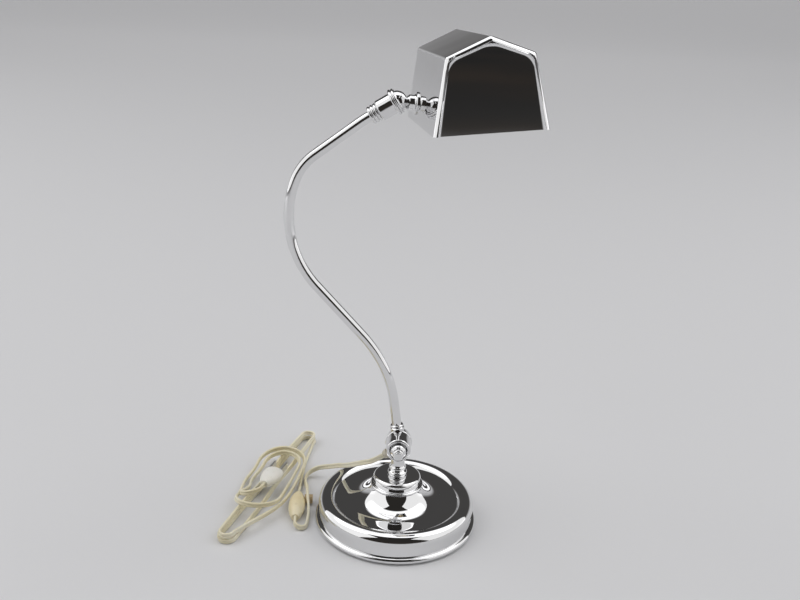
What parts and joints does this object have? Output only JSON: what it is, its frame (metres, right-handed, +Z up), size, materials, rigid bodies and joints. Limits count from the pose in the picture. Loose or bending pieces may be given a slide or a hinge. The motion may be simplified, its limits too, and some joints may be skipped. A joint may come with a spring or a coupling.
{
  "type": "desk_lamp",
  "caption": "Chromed desk lamp: weighted spun base, S-shaped tilting arm on a friction knuckle, gabled trough shade on a ball joint, flat cord with in-line switch and plug",
  "frame": {"origin": "centre of the felt underside, on the table", "axes": "+Z up, +X to the right and +Y away from the viewer who faces the thumb knob"},
  "size_m": [0.2732, 0.2289, 0.4617],
  "materials": {
    "chrome": "mirror plated",
    "iron": "rough cast",
    "felt": "matt felt",
    "steel": "zinc plated",
    "fibre": "pressed fibre",
    "bushing_rubber": "aged ivory rubber",
    "wire": "insulated wire",
    "brass": "plain",
    "dark_plastic": "moulded phenolic",
    "lamp_metal": "plain",
    "lamp_glass": "frosted",
    "cord": "cream, matt",
    "ivory": "aged ivory",
    "tan": "tan, ribbed"
  },
  "bodies": {
    "base": {"base_shell": "chrome", "neck": "chrome", "fixed_cup": "chrome", "base_weight": "iron", "base_felt": "felt", "base_stud": "steel", "base_nut": "steel", "base_washer": "steel", "pivot_bolt": "steel", "spring_washer": "steel", "friction_disc": "fibre", "cord_bushing": "bushing_rubber", "plug_blades": "brass", "cord_lead": "cord", "cord_hank": "cord", "switch_top": "ivory", "switch_bottom": "ivory", "plug_body": "ivory"},
    "arm": {"arm_cup": "chrome", "arm_collar": "chrome", "arm_tube": "chrome", "arm_wire": "wire", "upper_collar": "chrome"},
    "thumb_knob": {"thumb_knob": "chrome"},
    "swivel": {"swivel_barrel": "chrome", "swivel_cap": "chrome"},
    "ball_neck": {"ball_neck": "chrome", "shade_nipple": "brass", "lock_nut": "steel"},
    "shade": {"shade_shell": "chrome", "shade_front_end": "chrome", "shade_rear_end": "chrome", "holder_bracket": "steel", "holder_screw": "steel", "holder_cap": "brass", "holder_insulator": "dark_plastic", "holder_shell": "brass", "lamp_cap": "lamp_metal", "lamp_glass": "lamp_glass"},
    "switch_wheel": {"switch_wheel": "tan"}
  },
  "joints": [
    {"name": "arm_tilt", "type": "hinge", "parent": "base", "child": "arm", "pos_m": [0, 0.0095, 0.0805], "axis": [0, 1, 0], "range_deg": [-55, 55]},
    {"name": "knob_turn", "type": "hinge", "parent": "base", "child": "thumb_knob", "pos_m": [0, -0.018, 0.0805], "axis": [0, 1, 0], "range_deg": [-90, 360]},
    {"name": "socket_roll", "type": "hinge", "parent": "arm", "child": "swivel", "pos_m": [-0.03629, 0.0095, 0.38825], "axis": [0.848, 0, 0.5299], "range_deg": [-150, 150]},
    {"name": "neck_tilt", "type": "hinge", "parent": "swivel", "child": "ball_neck", "pos_m": [-0.01547, 0.0095, 0.40126], "axis": [-0.138, 0.9655, 0.2208], "range_deg": [-80, 6]},
    {"name": "shade_spin", "type": "hinge", "parent": "ball_neck", "child": "shade", "pos_m": [-0.01547, 0.0095, 0.40126], "axis": [0.9809, 0.1641, -0.1043], "range_deg": [-90, 90]},
    {"name": "wheel_turn", "type": "hinge", "parent": "base", "child": "switch_wheel", "pos_m": [-0.09745, 0.01699, 0.0056], "axis": [0.9994, 0.0349, 0], "continuous": true}
  ]
}
